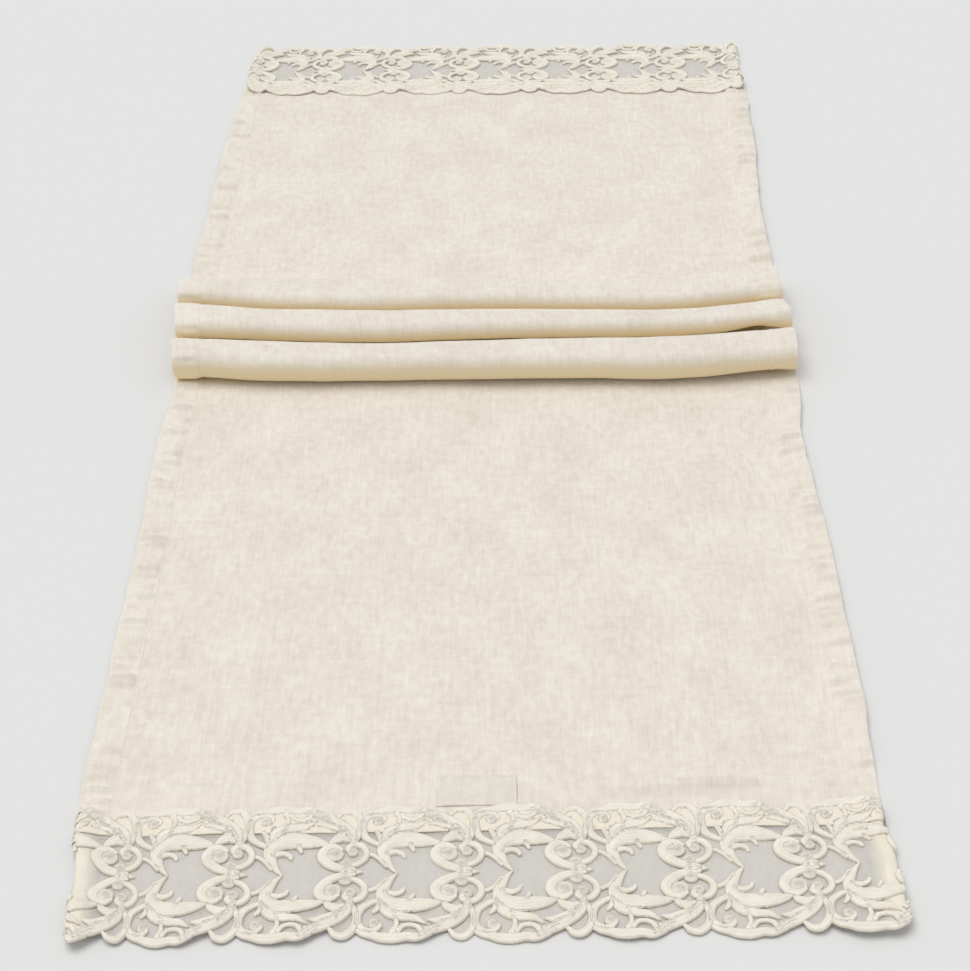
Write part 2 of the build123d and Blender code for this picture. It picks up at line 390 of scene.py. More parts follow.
def side_hem(side):
    sign = -1 if side == "left" else 1
    section = hem_ring()
    depth = np.array([p[0] for p in section])
    level = np.array([p[1] for p in section])
    xs = sign * (WIDTH / 2 - depth)
    base, normal = lay_points(xs, ROW / 2)
    s = arc_length(base)[:, None] + 0 * xs[None, :]
    seed = 40 + sign
    upper = smooth(0.6 * MM, 1.6 * MM, level)[None, :]
    body = (0.25 + smooth(0.0, 5 * MM, depth)) * (1 - smooth(HEM - 5 * MM, HEM, depth))
    crease = noise(depth[None, :] / 0.04 + s / 0.05, s / 0.0055, seed)
    pucker = 7.0 * np.clip(np.abs(crease) - 0.36, 0, 1)
    pucker = pucker + 0.7 * noise(depth[None, :] / 0.02, s / 0.017, seed + 9)
    pleated = smooth(0.540, 0.555, base[..., 1]) * (1 - smooth(0.690, 0.710, base[..., 1]))
    pucker = np.clip(pucker, -0.7, None) * (1 - 0.7 * pleated)
    rise = level[None, :] + upper * body[None, :] * pucker * MM
    # The under layer carries the painted shade of the pleats, for the hem too.
    hem_painted_shade = {"under": underside(base, normal, 1)}
    base = base + normal * rise[..., None]
    wander = 0.8 * noise(s / 0.033, 0 * s, seed + 3) + 0.5 * noise(s / 0.012, 0 * s, seed + 5)
    outer = (1 - smooth(0.0, HEM * 0.6, depth))[None, :]
    base[..., 0] += sign * wander * outer * MM
    rows, columns = base.shape[:2]
    flip = sign > 0
    faces = []
    for f in grid_faces(rows, columns):
        faces.append(f if not flip else f[::-1])
    for i in range(rows - 1):
        a = i * columns + columns - 1
        b = i * columns
        quad = [a, b, b + columns, a + columns]
        faces.append(quad if not flip else quad[::-1])
    start = list(range(columns))
    end = [(rows - 1) * columns + j for j in range(columns)]
    faces.append(start[::-1] if not flip else start)
    faces.append(end if not flip else end[::-1])
    uv = np.stack([sign * (WIDTH / 2 - depth[None, :]) + 0 * s, s], axis=-1).reshape(-1, 2)
    return new_object("Hem_" + side.title(), home(base.reshape(-1, 3)), faces, uv, hem_painted_shade,
                      ["hem_" + side])


def stitch_run(name, path, normal, length, gap, thick, node):
    """A row of small rounded stitches along a path of points, each a six-sided bead."""
    steps = np.linalg.norm(np.diff(path, axis=0), axis=1)
    s = np.concatenate([[0.0], np.cumsum(steps)])
    starts = np.arange(gap, s[-1] - length, length + gap)
    rings = np.array([0.0, 0.12, 0.35, 0.65, 0.88, 1.0])
    girth = np.array([0.25, 0.7, 1.0, 1.0, 0.7, 0.25])
    around = np.linspace(0, 2 * math.pi, 6, endpoint=False)
    points = []
    faces = []
    for start in starts:
        along = start + rings * length
        centre = np.stack([np.interp(along, s, path[:, k]) for k in range(3)], axis=1)
        up = np.stack([np.interp(along, s, normal[:, k]) for k in range(3)], axis=1)
        up /= np.linalg.norm(up, axis=1, keepdims=True)
        way = np.gradient(centre, axis=0)
        way /= np.linalg.norm(way, axis=1, keepdims=True)
        side = np.cross(up, way)
        sink = (0.35 - 0.55 * (2 * rings - 1) ** 2)[:, None] * thick
        first = len(points)
        for k in range(len(rings)):
            for angle in around:
                offset = side[k] * math.cos(angle) + up[k] * math.sin(angle)
                points.append(centre[k] + up[k] * sink[k] + offset * girth[k] * thick / 2)
        n = len(around)
        for k in range(len(rings) - 1):
            for a in range(n):
                b = (a + 1) % n
                row = first + k * n
                faces.append([row + a, row + b, row + n + b, row + n + a])
        faces.append([first + a for a in range(n)][::-1])
        last = first + (len(rings) - 1) * n
        faces.append([last + a for a in range(n)])
    return new_object(name, home(points), faces, node=node)


def hem_thread(side):
    sign = -1 if side == "left" else 1
    xs = np.array([sign * (WIDTH / 2 - HEM_SEAM)] * 2)
    base, normal = lay_points(xs)
    path = base[:, 0] + normal[:, 0] * 1.6 * MM
    inside = slice(round(26 * MM / ROW), len(path) - round(26 * MM / ROW))
    return stitch_run("Hem_Thread_" + side.title(), path[inside], normal[inside, 0],
                      3.0 * MM, 0.7 * MM, 0.55 * MM, ["hem_thread_" + side])


# ---------------------------------------------------------------- lace motif
# One repeat of the scrollwork, one half: u along the border, v out from its centre line, w the
# half width, in seventieths of a repeat. The other half is its mirror image.
REPEAT = 68.8 * MM
MOTIF_LENGTH = 70.0
MOTIF_DEPTH = 55.0
UNIT = REPEAT / MOTIF_LENGTH
DEPTH_UNIT = BORDER / 2 / MOTIF_DEPTH
STROKES = {
    "small leaf": [(-4.5, 22, 2.4), (-2.6, 28, 3.2), (2, 33, 3.6), (9, 35.4, 3.4), (17, 36.6, 2.6),
                   (23, 41, .6)],
    "trunk leaf": [(5.5, .4, .7), (2.5, 4, 1.9), (-1, 10, 3.2), (-3, 16, 4.0), (-2, 21, 4.6), (3, 25, 5.4),
                   (10, 26.4, 5.8), (20, 25.8, 4.9), (27, 24.9, 3.2), (33, 22.8, .8)],
    "leaf ridge": [(-4.2, 15, .8), (-3.2, 23, 1.3), (2, 28.6, 1.5), (9, 30.6, 1.6), (17, 29.6, 1.5),
                   (25, 26.9, 1.2), (32.5, 23.2, .6)],
    "leaf bump": [(13.5, 22.5, 2.1), (15.5, 18.2, 1.3)],
    "thorn": [(-1, 15.5, 2.4), (4.5, 17, 2.1), (8.5, 15.4, 1.8), (9.8, 13.2, 1.3)],
    "branch": [(-1, 6, 1.9), (-5.5, 11, 1.6), (-9.5, 14, 1.5), (-13.5, 14.8, 1.6)],
    "spur": [(-4.5, 25, 2.2), (-6, 29, 1.9), (-8, 31.5, 1.2)],
    "c scroll": [(-4, 22, 1.8), (-10, 24.6, 2.2), (-15.3, 29, 2.6), (-17.4, 35, 2.7), (-16.6, 41, 2.6),
                 (-12.5, 45.3, 2.4), (-7.5, 45.6, 2.2), (-4.2, 42.4, 2.0), (-5.6, 39.4, 1.7)],
    "scallop": [(-17, 45, 2.0), (-13, 47.4, 2.6), (-8, 49, 3.0), (-2, 51, 3.6), (5, 51.5, 3.7),
                (12, 50.5, 3.3), (18, 51, 3.2), (24, 48.3, 3.0), (29, 45, 2.4)],
    "stem": [(4, 31, 1.6), (5.4, 37, 1.5), (5.8, 42, 1.6), (4, 47, 2.2)],
    "hook": [(7, 45.8, 1.9), (10, 42.6, 1.7), (14.5, 41.8, 1.8), (18.5, 43.6, 1.7), (20.6, 47.5, 1.9)],
    "fan": [(48.5, 22.5, 2.5), (46.5, 29, 3.6), (42, 35, 4.2), (35, 40.5, 4.2), (28, 45, 3.6),
            (22, 48.8, 2.8), (17, 50.6, 1.7)],
    "fan finger 1": [(46.5, 27, 2.6), (41, 28.8, 3.4), (36, 27.2, 2.9), (33.2, 24.8, 1.2)],
    "fan finger 2": [(44.5, 31.5, 2.8), (37, 35.6, 3.2), (30, 38.2, 2.5), (24.8, 38, .9)],
    "fan finger 3": [(40, 37, 2.2), (33, 41.4, 2.5), (26.5, 44.2, 1.9), (22.8, 44.4, .9)],
    "j scroll": [(49, 26, 1.7), (51.6, 33, 2.1), (52, 39, 2.4), (50, 45, 2.7), (45.5, 49.2, 2.8),
                 (40.5, 48.8, 2.3), (37.4, 45.2, 1.4)],
    "ring": [(44, 5.5, 2.0), (50.5, 6.4, 2.1), (55.2, 10.5, 2.2), (56.3, 16, 2.3), (53.3, 21, 2.4),
             (48.3, 22.6, 2.4), (44.6, 20.2, 2.1), (45.4, 17.2, 1.8)],
    "big scroll": [(49, 1.6, 1.9), (42, 2.7, 2.8), (35, 5.8, 3.4), (30, 10.6, 3.6), (28.6, 15.5, 3.4),
                   (31, 20, 3.0), (36, 21.2, 2.6), (39.5, 18.6, 2.2)],
    "tip": [(43, .6, 2.2), (49, .3, 2.0), (54.2, .0, .7)],
}
BALLS = {"c ball": (-7.2, 40.4, 3.6), "ring ball": (47.6, 16.6, 3.6), "big ball": (36.8, 15.0, 5.4),
         "bud": (44.2, 6.4, 4.2)}
RIB = 2.3                                # width of one satin cord, same units
LACE_RISE = 1.6 * MM                     # height of a full cord
STEPS_PER_REPEAT = 132                   # grid cells along one repeat
CELL = REPEAT / STEPS_PER_REPEAT
WRAPS = (-MOTIF_LENGTH, 0.0, MOTIF_LENGTH)    # a shape also reaches in from the repeats beside it


def spline(points, per_span=7):
    """Catmull-Rom curve through the points, every coordinate at once."""
    p = np.array([points[0], *points, points[-1]], float)
    p[0] = 2 * p[1] - p[2]
    p[-1] = 2 * p[-2] - p[-3]
    t = np.linspace(0, 1, per_span, endpoint=False)[:, None]
    spans = []
    for k in range(1, len(p) - 2):
        a, b, c, d = p[k - 1], p[k], p[k + 1], p[k + 2]
        span = 2 * b + (c - a) * t + (2 * a - 5 * b + 4 * c - d) * t ** 2
        spans.append((span + (3 * b - a - 3 * c + d) * t ** 3) / 2)
    return np.concatenate(spans + [p[-2:-1]])


def nearest_span(gu, gv, curve, travelled, wrap):
    """Each point's depth inside a stroke, place across it, the half width there and place along."""
    best = np.full(gu.shape, -1e9)
    across = np.ones(gu.shape)
    width = np.ones(gu.shape)
    along = np.zeros(gu.shape)
    for a, b, ta, tb in zip(curve, curve[1:], travelled, travelled[1:]):
        d = b[:2] - a[:2]
        px = gu - a[0] - wrap
        py = gv - a[1]
        t = np.clip((px * d[0] + py * d[1]) / max(d @ d, 1e-9), 0, 1)
        w = a[2] + (b[2] - a[2]) * t
        gap = np.hypot(px - d[0] * t, py - d[1] * t)
        near = w - gap
        take = near > best
        best[take] = near[take]
        across[take] = (gap / w)[take]
        width[take] = w[take]
        along[take] = (ta + (tb - ta) * t)[take]
    return best, np.clip(across, 0, 1), width, along


def cord_height(margin, across, width, order, count):
    """A stroke's rounded back with its count of cords; a later stroke lies a little higher."""
    dome = np.sqrt(np.clip(1 - across ** 3.6, 0, 1))
    rib = np.cos(math.pi * across * count + (count % 2 == 0) * math.pi)
    depth = 0.18 * np.clip(2.2 * width / count / RIB, 0, 1) * (count > 1)
    size = np.clip(0.66 + 0.12 * width, 0, 1.15)
    return np.where(margin > 0, dome * (size + depth * rib) + order * 0.012, 0)


def ball_height(gap, turn, radius):
    """A domed ball with one cord coiled round it."""
    coil = 0.10 * np.cos(2 * math.pi * (gap / RIB + turn / (2 * math.pi)))
    dome = np.sqrt(np.clip(1 - (gap / radius) ** 2, 0, 1))
    return np.where(gap < radius, dome * (1.2 + coil) + 0.2, 0)


def lay_on(field, margin, height, stitch):
    """Lay a raised shape on the motif: it shows where it stands higher than what is there."""
    take = height > field["height"]
    field["height"][take] = height[take]
    field["stitch"][take] = stitch[take]
    np.maximum(field["inside"], margin, out=field["inside"])


def outside_air(inside):
    """The cells beyond the motif's outer contour, spread inwards from the grid's outer edge."""
    air = np.zeros(inside.shape, bool)
    air[:, -1] = True
    while True:
        grown = air.copy()
        for axis, step in ((0, 1), (0, -1), (1, 1), (1, -1)):
            grown |= np.roll(air, step, axis)
        grown[:, 0] = air[:, 0]
        grown &= inside <= 0
        if (grown == air).all():
            return air
        air = grown


def motif_field():
    """Half a motif on a grid of one repeat: how deep inside a point is, its height and stitch."""
    u = np.arange(STEPS_PER_REPEAT) / STEPS_PER_REPEAT * MOTIF_LENGTH
    v = np.arange(0, round((MOTIF_DEPTH + 2.0) * DEPTH_UNIT / CELL)) * CELL / DEPTH_UNIT
    gu, gv = np.meshgrid(u, v, indexing="ij")
    field = {"inside": np.full(gu.shape, -9.0), "height": np.zeros(gu.shape), "stitch": np.zeros(gu.shape)}
    for order, points in enumerate(STROKES.values()):
        curve = spline(points)
        count = max(1, round(2 * curve[:, 2].max() / RIB))
        travelled = np.concatenate([[0], np.cumsum(np.hypot(*np.diff(curve[:, :2], axis=0).T))])
        for wrap in WRAPS:
            margin, across, width, along = nearest_span(gu, gv, curve, travelled, wrap)
            lay_on(field, margin, cord_height(margin, across, width, order, count), along)
    for cu, cv, radius in BALLS.values():
        for wrap in WRAPS:
            px = gu - cu - wrap
            py = gv - cv
            gap = np.hypot(px, py)
            turn = np.arctan2(py, px)
            lay_on(field, radius - gap, ball_height(gap, turn, radius), turn * radius)
    return field["inside"], field["height"], field["stitch"], ~outside_air(field["inside"])


MOTIF = motif_field()


def border_field(x0, extra):
    """The motif repeated along the border, both halves. x0 is where a repeat starts."""
    inside, height, stitch, enclosed = MOTIF
    half = inside.shape[1]
    count = round((BORDER_W + 2 * extra) / CELL) + 1
    x = (np.arange(count) - (count - 1) / 2) * CELL
    k = np.round((x - x0) / CELL).astype(int) % STEPS_PER_REPEAT
    v = np.arange(-(half - 1), half) * CELL
    j = np.abs(np.arange(-(half - 1), half))
    pick = np.ix_(k, j)
    inside = inside[pick].copy()
    height = height[pick].copy()
    y = BORDER / 2 - v
    over_linen = smooth(LINEN_END - 7 * MM, LINEN_END + 1 * MM, y)[None, :]
    height *= 1 - 0.12 * over_linen
    ground = enclosed[pick] & (y > LINEN_END - 1.0 * MM)[None, :]
    cloth = 0.50 + 0.10 * noise(x[:, None] / (2.0 * MM), y[None, :] / (1.6 * MM), 55)
    inside[ground] = np.maximum(inside[ground], 0.4)
    height[ground] = np.maximum(height[ground], cloth[ground])
    soft = (2 * height + sum(np.roll(height, step, axis) for axis in (0, 1) for step in (-1, 1))) / 6
    height = np.where(ground, soft, height)
    inside[0] = inside[-1] = -1.0
    inside[:, 0] = inside[:, -1] = -1.0
    return x, y, inside, height, stitch[pick]


def cell_rings(inside, corner, side):
    """Each cell's polygon inside the outline, and those of its sides that lie on the outline."""
    full = [inside[:-1, :-1] > 0, inside[:-1, 1:] > 0, inside[1:, 1:] > 0, inside[1:, :-1] > 0]
    case = sum(full[k].astype(int) << k for k in range(4))
    tops = []
    walls = []
    for number in range(1, 16):
        cells = np.nonzero(case == number)
        if not len(cells[0]):
            continue
        ring = []
        edge = []
        for k in range(4):
            this = bool(number >> k & 1)
            after = bool(number >> ((k + 1) % 4) & 1)
            if this:
                ring.append(corner[k][cells])
                edge.append(False)
            if this != after:
                ring.append(side[k][cells])
                edge.append(True)
        ring = np.stack(ring, axis=1)
        tops.append(ring)
        for k in range(len(edge)):
            n = (k + 1) % len(edge)
            if edge[k] and edge[n]:
                walls.append(ring[:, [k, n]])
    return tops, walls


def contour_mesh(x, y, inside, height, stitch):
    """Closed mesh of a height field over the region inside > 0: top, flat underside and walls."""
    nx, ny = inside.shape
    gx, gy = np.meshgrid(x, y, indexing="ij")
    node = np.arange(nx * ny).reshape(nx, ny)
    field = {"x": gx, "y": gy, "h": height, "s": stitch}

    def crossing(a, b):
        fa = inside[a]
        fb = inside[b]
        cut = (fa > 0) != (fb > 0)
        t = np.where(cut, fa / np.where(cut, fa - fb, 1), 0)
        row = {k: f[a] + (f[b] - f[a]) * t for k, f in field.items()}
        row["s"] = np.where(fa > 0, stitch[a], stitch[b])
        row["h"] = 0.30 + 0 * t
        return row

    along_x = crossing(np.s_[:-1, :], np.s_[1:, :])
    along_y = crossing(np.s_[:, :-1], np.s_[:, 1:])
    x_id = nx * ny + np.arange((nx - 1) * ny).reshape(nx - 1, ny)
    y_id = x_id.max() + 1 + np.arange(nx * (ny - 1)).reshape(nx, ny - 1)
    rows = {k: np.concatenate([field[k].ravel(), along_x[k].ravel(), along_y[k].ravel()]) for k in field}
    corner = [node[:-1, :-1], node[:-1, 1:], node[1:, 1:], node[1:, :-1]]
    side = [y_id[:-1, :], x_id[:, 1:], y_id[1:, :], x_id[:, :-1]]
    tops, walls = cell_rings(inside, corner, side)
    used = np.unique(np.concatenate([r.ravel() for r in tops]))
    place = np.full(y_id.max() + 1, -1)
    place[used] = np.arange(len(used))
    count = len(used)
    top = np.stack([rows["x"][used], rows["y"][used], rows["h"][used] * LACE_RISE], axis=1)
    bottom = top * np.array([1, 1, 0])
    faces = []
    for ring in tops:
        ring = place[ring]
        faces += ring[:, ::-1].tolist()
        faces += (ring + count).tolist()
    for pair in walls:
        a = place[pair[:, 0]]
        b = place[pair[:, 1]]
        faces += np.stack([b, b + count, a + count, a], axis=1).tolist()
    return np.concatenate([top, bottom]), faces, np.tile(rows["s"][used], 2), np.tile(rows["h"][used], 2)


# ---------------------------------------------------------------- how a border lies
FOLD_R = 0.8 * MM                        # bend where a border's end is turned under
TURNED = 11.0 * MM                       # cloth turned under at each end
LACE_TOP = 1.8 * MM                      # the highest cord over its backing


def border_lift(x, y, end):
    """Free lift of the border off the table, outside the linen."""
    outer = 1 - smooth(5 * MM, 70 * MM, y)
    seed = 60 if end == "near" else 66
    lift = 0.5 + 0.7 * noise(x / 0.045, y / 0.05, seed) + 0.5 * noise(x / 0.022, y / 0.02, seed + 1)
    lift = np.clip(lift, 0.0, None) * (0.4 + 0.6 * outer)
    if end == "near":
        raised = ((-0.236, 0.016, 3.6), (-0.164, 0.012, 3.0), (-0.104, 0.020, 3.4), (-0.030, 0.010, 1.4),
                  (0.088, 0.012, 1.4), (0.228, 0.028, 4.2))
        for centre, reach, rise in raised:
            lift = lift + rise * bump_at(x, centre, reach) * outer ** 2
        lift = lift + 3.6 * bump_at(x, -0.240, 0.012) * bump_at(y, 0.066, 0.013)
        lift = lift + 2.4 * bump_at(x, -0.238, 0.012) * bump_at(y, 0.030, 0.012)
        lift = lift + 3.8 * bump_at(x, 0.236, 0.014) * bump_at(y, 0.062, 0.013)
        lift = lift + 2.6 * bump_at(x, 0.240, 0.012) * bump_at(y, 0.030, 0.012)
    return lift * MM


def lay_border(x, y, rise, end):
    """Place flat border points (x along, y in from the outer edge, rise above its backing)."""
    side = np.sign(x)
    far = np.abs(x) - (BORDER_W / 2 - FOLD_R)
    turn = np.clip(far / FOLD_R, 0, math.pi)
    back = np.clip(far - math.pi * FOLD_R, 0, None)
    tuck = 1 - smooth(10 * MM, 40 * MM, y) - 1.3 * smooth(BORDER - 34 * MM, BORDER - 8 * MM, y)
    y = y + 7.0 * MM * smooth(0, 2.5 * FOLD_R, far) * tuck
    middle = (FOLD_R + LACE_TOP) * smooth(-16 * MM, -1 * MM, far)
    level = middle + FOLD_R * smooth(-16 * MM, -1 * MM, far)
    radius = FOLD_R + rise
    across = np.where(far > 0, BORDER_W / 2 - FOLD_R + radius * np.sin(turn) - back, np.abs(x))
    height = np.where(far > 0, middle + radius * np.cos(turn), level + rise)
    linen = smooth(LINEN_END - 5 * MM, LINEN_END, y)
    hem = linen * (1 - smooth(LINEN_END + END_HEM, LINEN_END + END_HEM + 6 * MM, y))
    sides = linen * smooth(WIDTH / 2 - HEM - 3 * MM, WIDTH / 2 - HEM, across)
    ground = (0.15 + 1.25 * linen + 0.8 * hem + 1.0 * sides) * MM + border_lift(x, y, end)
    wobble = 0.9 * noise(x / 0.05, y / 0.06, 71) + 0.5 * noise(x / 0.02, y / 0.025, 72)
    wobble = wobble + 0.8 * noise(y / 0.013, 3 + 0 * y, 75) * smooth(0.20, 0.245, across)
    t = np.clip(y / BORDER, 0, 1)
    if end == "near":
        right, left = 1.4 * (1 - t) - 4.0 * t ** 2, 9.0 * (1 - t) ** 1.5
    else:
        right, left = -4.0 * t ** 1.5 - 9.0 * (1 - t) ** 4 - 1.5, 2.0 * t ** 1.5 + 4.5 * (1 - t) ** 1.5
    px = side * across + wobble * MM
    py = y + (0.8 * noise(x / 0.04, y / 0.05, 73) + 0.5 * noise(x / 0.017, y / 0.02, 74)) * MM
    pz = ground + height
    reach = smooth(0.170, 0.245, across) * MM
    px = px + np.where(side > 0, right, left) * reach
    if end == "near":
        return np.stack([px, py, pz], axis=-1)
    place = far_place(-px, LENGTH - TURN_Y - py)
    place[..., 2] = pz
    return place


def lace_border(end):
    window = 15.5 * UNIT
    x0 = (28.3 if end == "near" else 3.6) * MM - window
    x, y, inside, height, stitch = border_field(x0, TURNED + (math.pi - 1) * FOLD_R)
    y = y[::-1]
    grids = [g[:, ::-1] for g in (inside, height, stitch)]
    points, faces, along, rib = contour_mesh(x, y, *grids)
    # The rib layer is the relief height; the lace material paints shade on its low parts.
    flat = new_object("flat", points, faces, layers={"along": along, "rib": rib})
    fewer = flat.modifiers.new("fewer", "DECIMATE")
    fewer.ratio = 0.33
    mesh = bpy.data.meshes.new_from_object(flat.evaluated_get(bpy.context.evaluated_depsgraph_get()))
    bpy.data.objects.remove(flat)
    co = np.zeros(len(mesh.vertices) * 3)
    mesh.vertices.foreach_get("co", co)
    co = co.reshape(-1, 3)
    set_uv(mesh, co[:, :2])
    placed = home(lay_border(co[:, 0], co[:, 1], co[:, 2] + 0.15 * MM, end))
    mesh.vertices.foreach_set("co", placed.astype(np.float32).ravel())
    mesh.update()
    mesh.name = "Lace_" + end.title()
    piece = add_object(mesh.name, mesh, ["lace_" + end])
    reach = np.where(grids[0] > 0, y[None, :], 1.0).min(axis=1)
    return piece, x, reach


def organza(end, x, reach):
    """Sheer backing, its outer edge just inside the lace's scallops."""
    keep = slice(4, -4, 3)
    edge = reach[keep] + 2.0 * MM
    edge = np.minimum(edge, 12 * MM)
    inner = BORDER - 8 * MM
    rows = 48
    t = np.linspace(0, 1, rows)[:, None]
    y = edge[None, :] + (inner - edge[None, :]) * t
    gx = np.repeat(x[keep][None, :], rows, 0)
    crease = 0.35 * noise(gx / 0.012, y / 0.03, 81) + 0.3 * noise(gx / 0.03 + y / 0.02, y / 0.012, 82)
    rise = np.clip(crease, -0.3, 0.6) * MM * smooth(0, 10 * MM, y - edge[None, :]) - 0.05 * MM
    top = lay_border(gx, y, rise + 0.08 * MM, end)
    under = lay_border(gx, y, rise, end)
    points, faces = closed_sheet(top, under)
    uv = np.stack([gx, y], axis=-1).reshape(-1, 2)
    piece = new_object("Organza_" + end.title(), home(points), faces, np.concatenate([uv, uv]),
                       node=["organza_" + end])
    return piece


def end_hem(end):
    """The linen's end turned over, a flat strip under the lace."""
    half = WIDTH / 2 - HEM - 1 * MM
    xs = np.linspace(-half, half, 90)
    ys = LINEN_END + np.linspace(0, 1, 6) * END_HEM
    gx = np.repeat(xs[None, :], len(ys), 0)
    gy = np.repeat(ys[:, None], len(xs), 1)
    if end == "near":
        top = np.stack([gx, gy, 0 * gx], axis=-1)
    else:
        top = far_place(gx, LENGTH - TURN_Y - gy)
    under = top.copy()
    top[..., 2] = 1.75 * MM
    under[..., 2] = 1.15 * MM
    points, faces = closed_sheet(top, under)
    if end == "far":
        faces = [f[::-1] for f in faces]
    uv = np.stack([gx, gy], axis=-1).reshape(-1, 2)
    return new_object("End_Hem_" + end.title(), home(points), faces, np.concatenate([uv, uv]),
                      node=["end_hem_" + end])


def lace_seam(end):
    """Small stitches over the lace's inner contour."""
    xs = np.linspace(-BORDER_W / 2 + 15 * MM, BORDER_W / 2 - 15 * MM, 400)
    y = BORDER - 8.5 * MM + 0 * xs
    path = lay_border(xs, y, 1.0 * MM + 0 * xs, end)
    up = np.zeros(path.shape)
    up[:, 2] = 1
    return stitch_run("Lace_Seam_" + end.title(), path, up, 2.0 * MM, 2.2 * MM, 0.4 * MM,
                      ["lace_seam_" + end])


# ---------------------------------------------------------------- label
def label():
    low, high = LABEL_BOX
    half = (high.x - low.x) / 2
    middle = (low.x + high.x) / 2 - HOME.x
    y0 = low.y - HOME.y
    y1 = high.y - HOME.y
    xs = np.linspace(-half, half, 61)
    ys = np.linspace(y0, y1, 31)
    gx, gy = np.meshgrid(xs, ys)
    edge = np.minimum(half - np.abs(gx), y1 - gy)
    pillow = 0.50 * smooth(0, 1.2 * MM, edge) - 0.35 * bump_at(edge, 2.2 * MM, 0.8 * MM)
    pillow = pillow + 0.35 * smooth(3 * MM, 8 * MM, edge)
    rough = 0.30 * noise(gx / 0.009, gy / 0.006, 91) + 0.22 * noise(gx / 0.0035, gy / 0.003, 93)
    pillow = pillow + rough * smooth(2 * MM, 5 * MM, edge)
    wave = 0.4 * MM * noise(gx / 0.03, gy / 0.05, 92) * (edge < 1.2 * MM)
    base = 1.35 * MM
    top = np.stack([gx + middle, gy + wave, base + (0.55 + pillow) * MM], axis=-1)
    under = np.stack([gx + middle, gy + wave, 0 * gx + base - 0.2 * MM], axis=-1)
    points, faces = closed_sheet(top, under)
    uv = np.stack([gx, gy], axis=-1).reshape(-1, 2)
    piece = new_object("Label", home(points), faces, np.concatenate([uv, uv]), node=["label"])
    inset = 2.0 * MM
    path = [(-half + inset, y0 + 6 * MM), (-half + inset, y1 - inset), (half - inset, y1 - inset),
            (half - inset, y0 + 6 * MM)]
    dense = []
    for a, b in zip(path, path[1:]):
        for t in np.linspace(0, 1, 40, endpoint=False):
            dense.append((a[0] + (b[0] - a[0]) * t + middle, a[1] + (b[1] - a[1]) * t, base + 0.9 * MM))
    dense = np.array(dense)
    up = np.zeros(dense.shape)
    up[:, 2] = 1
    stitch_run("Label_Stitches", dense, up, 1.6 * MM, 0.5 * MM, 0.3 * MM, ["label_stitches"])
    return piece


# ---------------------------------------------------------------- materials
class Nodes:
    """A material's node tree, with short calls for the nodes used here."""

    def __init__(self, name):
        self.material = bpy.data.materials.new(name)
        self.material.use_nodes = True
        self.tree = self.material.node_tree
        self.shader = self.tree.nodes["Principled BSDF"]

    def add(self, kind, values=None, **settings):
        node = self.tree.nodes.new(kind)
        for key, value in settings.items():
            setattr(node, key, value)
        for key, value in (values or {}).items():
            self.put(node, key, value)
        return node

    def put(self, node, key, value):
        if isinstance(value, bpy.types.NodeSocket):
            self.tree.links.new(value, node.inputs[key])
        else:
            node.inputs[key].default_value = value

    def surface(self, values):
        for key, value in values.items():
            self.put(self.shader, key, value)

    def math(self, operation, a, b=0.0):
        return self.add("ShaderNodeMath", {0: a, 1: b}, operation=operation).outputs[0]

    def uv(self, per_metre_u, per_metre_v):
        where = self.add("ShaderNodeUVMap")
        scale = (per_metre_u, per_metre_v, 1.0)
        scaled = self.add("ShaderNodeVectorMath", {0: where.outputs[0], 1: scale}, operation="MULTIPLY")
        return scaled.outputs[0]

    def noise(self, vector, detail=2.0):
        values = {"Vector": vector, "Scale": 1.0, "Detail": detail, "Roughness": 0.55}
        return self.add("ShaderNodeTexNoise", values).outputs["Fac"]

    def ramp(self, value, low, high):
        values = {"Value": value, "From Min": low, "From Max": high}
        return self.add("ShaderNodeMapRange", values).outputs["Result"]

    def mix(self, factor, a, b):
        node = self.add("ShaderNodeMix", data_type="RGBA")
        self.put(node, 0, factor)
        self.put(node, 6, a)
        self.put(node, 7, b)
        return node.outputs[2]

    def bump(self, height, distance, strength=1.0):
        values = {"Height": height, "Distance": distance, "Strength": strength}
        self.put(self.shader, "Normal", self.add("ShaderNodeBump", values).outputs[0])


def srgb(r, g, b):
    def linear(c):
        c /= 255.0
        return c / 12.92 if c <= 0.04045 else ((c + 0.055) / 1.055) ** 2.4
    return (linear(r), linear(g), linear(b), 1.0)


def weave(nodes, thread):
    """Plain weave: the bumps of threads passing over and under, thread apart in metres."""
    parts = nodes.add("ShaderNodeSeparateXYZ", {0: nodes.uv(math.pi / thread, math.pi / thread)})
    warp = nodes.math("SINE", parts.outputs[0])
    weft = nodes.math("SINE", parts.outputs[1])
    return nodes.math("MULTIPLY", warp, weft)


